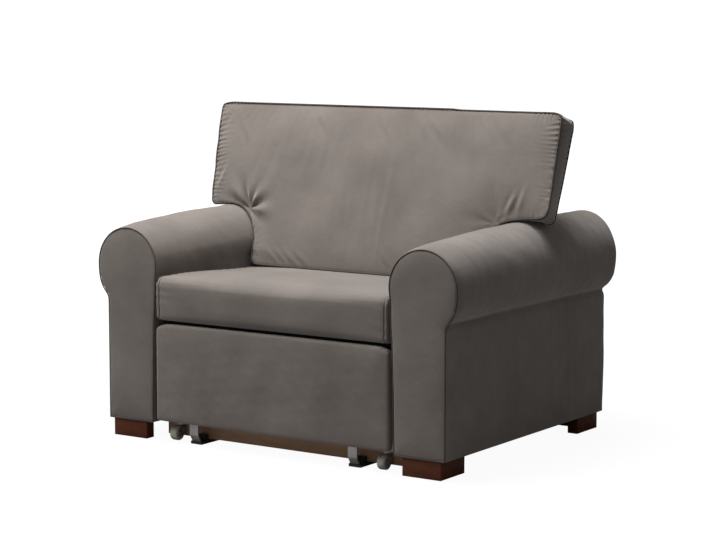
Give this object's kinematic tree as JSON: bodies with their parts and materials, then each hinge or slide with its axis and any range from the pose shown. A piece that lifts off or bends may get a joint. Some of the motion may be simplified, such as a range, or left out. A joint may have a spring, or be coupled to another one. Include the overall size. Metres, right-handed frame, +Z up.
{
  "type": "convertible chair bed",
  "caption": "Upholstered armchair with rolled arms and a loose T-shaped back cushion; its seat rolls forward on wheels and draws out two folding mattress sections into a flat bed.",
  "frame": {"origin": "bottom centre of the whole object's box, on the floor", "axes": "+X to the right of someone facing the chair from the front, +Y to the rear, +Z up; the seat opens towards -Y"},
  "size_m": [1.196, 0.876, 0.9204],
  "materials": {
    "velvet": "short-pile warm grey velvet",
    "ticking": "plain woven mattress cover",
    "dark_wood": "dark red-brown satin stain",
    "brown_board": "mid-brown raw board",
    "pale_board": "raw softwood and chipboard",
    "beech": "steamed beech slats",
    "zinc_steel": "zinc plated",
    "black_plastic": "black moulded",
    "wheel_plastic": "grey-beige moulded"
  },
  "bodies": {
    "chair": {"back_board": "pale_board", "back_bottom_rail": "pale_board", "back_cover": "velvet", "back_posts": "pale_board", "foot_bolts": "zinc_steel", "front_left_foot": "dark_wood", "front_right_foot": "dark_wood", "left_arm_base_board": "pale_board", "left_arm_cover": "velvet", "left_arm_facing": "velvet", "left_arm_front_board": "pale_board", "left_arm_inner_board": "pale_board", "left_arm_outer_board": "pale_board", "left_arm_rear_board": "pale_board", "left_pivot_block": "zinc_steel", "left_pivot_rail": "pale_board", "rear_left_foot": "dark_wood", "rear_right_foot": "dark_wood", "right_arm_base_board": "pale_board", "right_arm_cover": "velvet", "right_arm_facing": "velvet", "right_arm_front_board": "pale_board", "right_arm_inner_board": "pale_board", "right_arm_outer_board": "pale_board", "right_arm_rear_board": "pale_board", "right_pivot_block": "zinc_steel", "right_pivot_rail": "pale_board"},
    "rear_section": {"rear_section_cross_rails": "pale_board", "rear_section_mattress": "ticking", "rear_section_pivot_straps": "zinc_steel", "rear_section_side_rails": "pale_board", "rear_section_slats": "beech", "rear_section_top_straps": "zinc_steel"},
    "middle_section": {"middle_section_cross_rails": "pale_board", "middle_section_front_straps": "zinc_steel", "middle_section_mattress": "ticking", "middle_section_side_rails": "pale_board", "middle_section_slats": "beech", "middle_section_top_straps": "zinc_steel"},
    "middle_legs": {"middle_leg_frame": "zinc_steel", "middle_leg_pads": "black_plastic"},
    "seat_unit": {"seat_cushion": "velvet", "seat_side_rails": "pale_board", "seat_cross_rails": "pale_board", "seat_slats": "beech", "front_panel_cover": "velvet", "front_panel_board": "pale_board", "cart_side_boards": "pale_board", "cart_front_board": "brown_board", "cart_rear_board": "pale_board", "rear_glides": "black_plastic", "hinge_arms": "zinc_steel", "hinge_arm_bolts": "zinc_steel", "wheel_brackets": "zinc_steel", "wheel_axles": "zinc_steel", "strip_legs": "zinc_steel", "skids": "black_plastic"},
    "left_wheel": {"left_front_wheel": "wheel_plastic"},
    "right_wheel": {"right_front_wheel": "wheel_plastic"},
    "back_cushion": {"back_cushion": "velvet"}
  },
  "joints": [
    {"name": "unfold", "type": "hinge", "parent": "chair", "child": "rear_section", "pos_m": [0, 0.30438, 0.374], "axis": [1, 0, 0], "range_deg": [0, 90]},
    {"name": "middle_fold", "type": "hinge", "parent": "rear_section", "child": "middle_section", "pos_m": [0, 0.30438, 0.874], "axis": [1, 0, 0], "range_deg": [-180, 0]},
    {"name": "seat_fold", "type": "hinge", "parent": "middle_section", "child": "seat_unit", "pos_m": [0, 0.30438, 0.374], "axis": [1, 0, 0], "range_deg": [0, 90]},
    {"name": "leg_swing", "type": "hinge", "parent": "rear_section", "child": "middle_legs", "pos_m": [0, 0.30438, 0.874], "axis": [1, 0, 0], "range_deg": [-90, 0]},
    {"name": "left_wheel_spin", "type": "hinge", "parent": "seat_unit", "child": "left_wheel", "pos_m": [-0.348, -0.394, 0.021], "axis": [1, 0, 0], "continuous": true},
    {"name": "right_wheel_spin", "type": "hinge", "parent": "seat_unit", "child": "right_wheel", "pos_m": [0.348, -0.394, 0.021], "axis": [1, 0, 0], "continuous": true},
    {"name": "cushion_lift", "type": "slide", "parent": "seat_unit", "child": "back_cushion", "axis": [0, 0, 1], "range_m": [0, 0.3]}
  ],
  "couplings": [
    {"joint": "middle_fold", "follows": "unfold", "ratio": -2},
    {"joint": "seat_fold", "follows": "unfold", "ratio": 1},
    {"joint": "leg_swing", "follows": "unfold", "ratio": -1}
  ]
}
